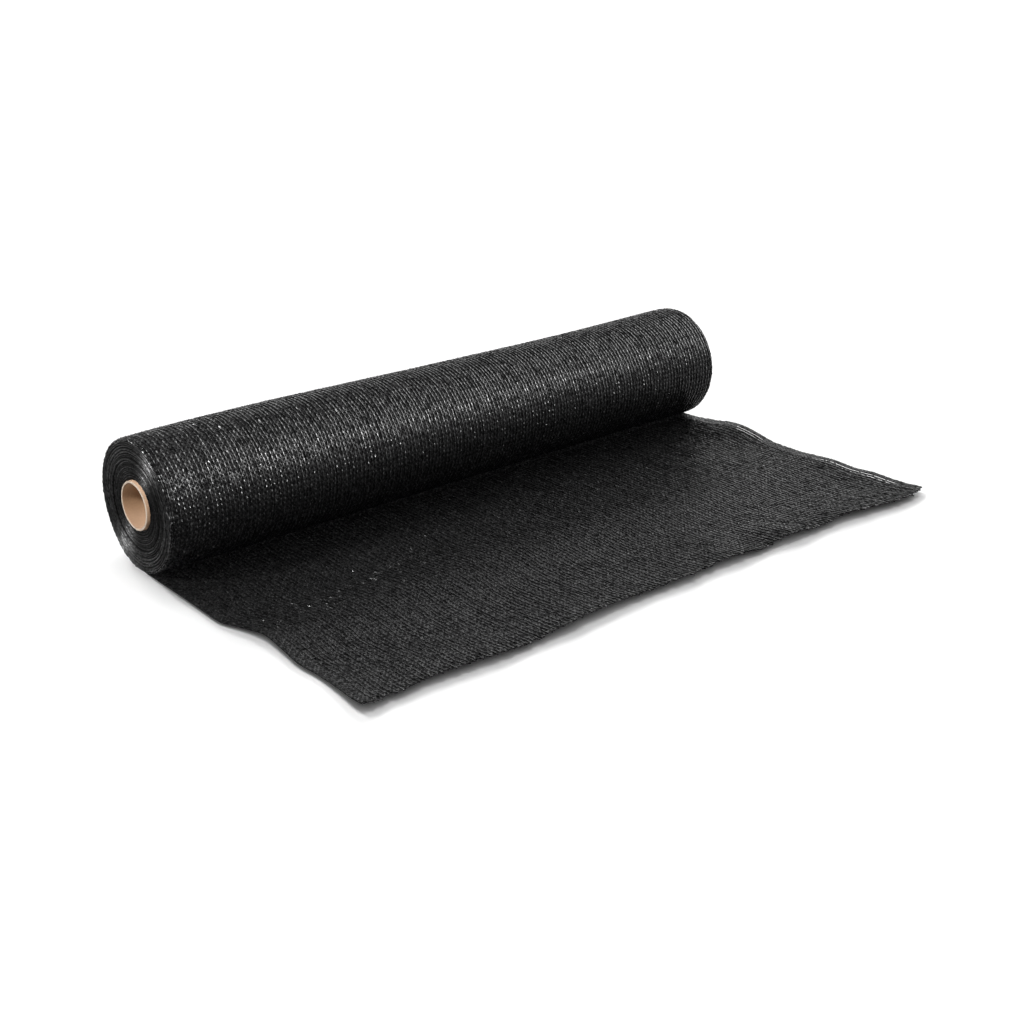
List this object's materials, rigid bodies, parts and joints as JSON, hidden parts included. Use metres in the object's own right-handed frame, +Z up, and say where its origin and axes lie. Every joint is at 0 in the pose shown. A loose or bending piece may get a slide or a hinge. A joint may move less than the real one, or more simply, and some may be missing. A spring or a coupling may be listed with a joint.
{
  "type": "shade net roll on a paper core",
  "caption": "Roll of black knitted shade net wound on a cardboard core, its loose end unrolled flat in front, to be cut and hung for shade, screening or plant cover.",
  "frame": {"origin": "on the floor, under the middle of the whole piece with its loose end laid out", "axes": "+X along the roll from its near end, the loose end lies towards -Y, +Z up"},
  "size_m": [1.0108, 0.6082, 0.1832],
  "materials": {
    "net": "knitted black polyethylene tape with a slight gloss",
    "core": "plain kraft paper board"
  },
  "bodies": {
    "root": {"core_tube": "core", "net_roll": "net", "net_loose_end": "net"}
  },
  "joints": []
}
